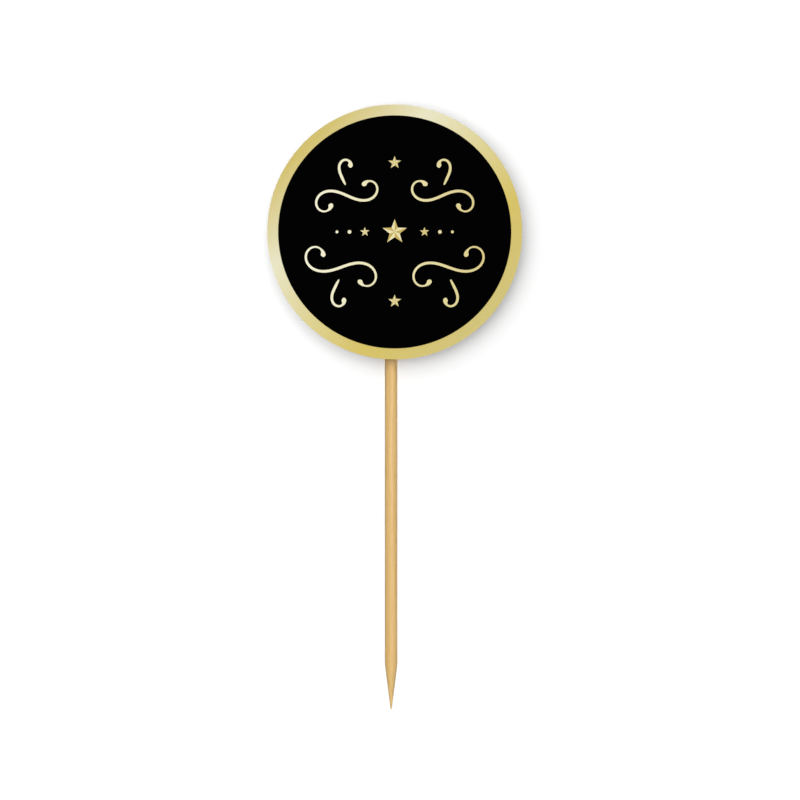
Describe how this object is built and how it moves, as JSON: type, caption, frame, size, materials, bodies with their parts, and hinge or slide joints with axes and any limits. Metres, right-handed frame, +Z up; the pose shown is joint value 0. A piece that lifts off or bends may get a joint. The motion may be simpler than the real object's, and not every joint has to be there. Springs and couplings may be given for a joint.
{
  "type": "cupcake topper",
  "caption": "Round layered card disc with a gold border, black face and gold foil scroll ornament, glued to a sharpened bamboo skewer that is pushed into a cake.",
  "frame": {"origin": "tip of the skewer, on its axis", "axes": "+Z up along the skewer from its point to the card; the decorated face of the card looks along -Y; +X to the right as the face is seen"},
  "size_m": [0.05, 0.0037, 0.1188],
  "materials": {
    "bamboo": "matte",
    "white_board": "matte",
    "gold_film": "satin",
    "tape": "matte",
    "black_card": "matte",
    "hot_melt": "gloss",
    "gold_foil": "satin"
  },
  "bodies": {
    "root": {"skewer": "bamboo", "base_board": "white_board", "gold_film": "gold_film", "mounting_tape": "tape", "black_disc": "black_card", "glue_bead": "hot_melt", "scroll_upper_left": "gold_foil", "scroll_upper_right": "gold_foil", "scroll_lower_left": "gold_foil", "scroll_lower_right": "gold_foil", "curl_upper_left": "gold_foil", "curl_upper_right": "gold_foil", "curl_lower_left": "gold_foil", "curl_lower_right": "gold_foil", "centre_star": "gold_foil", "small_stars": "gold_foil", "dots": "gold_foil"}
  },
  "joints": []
}
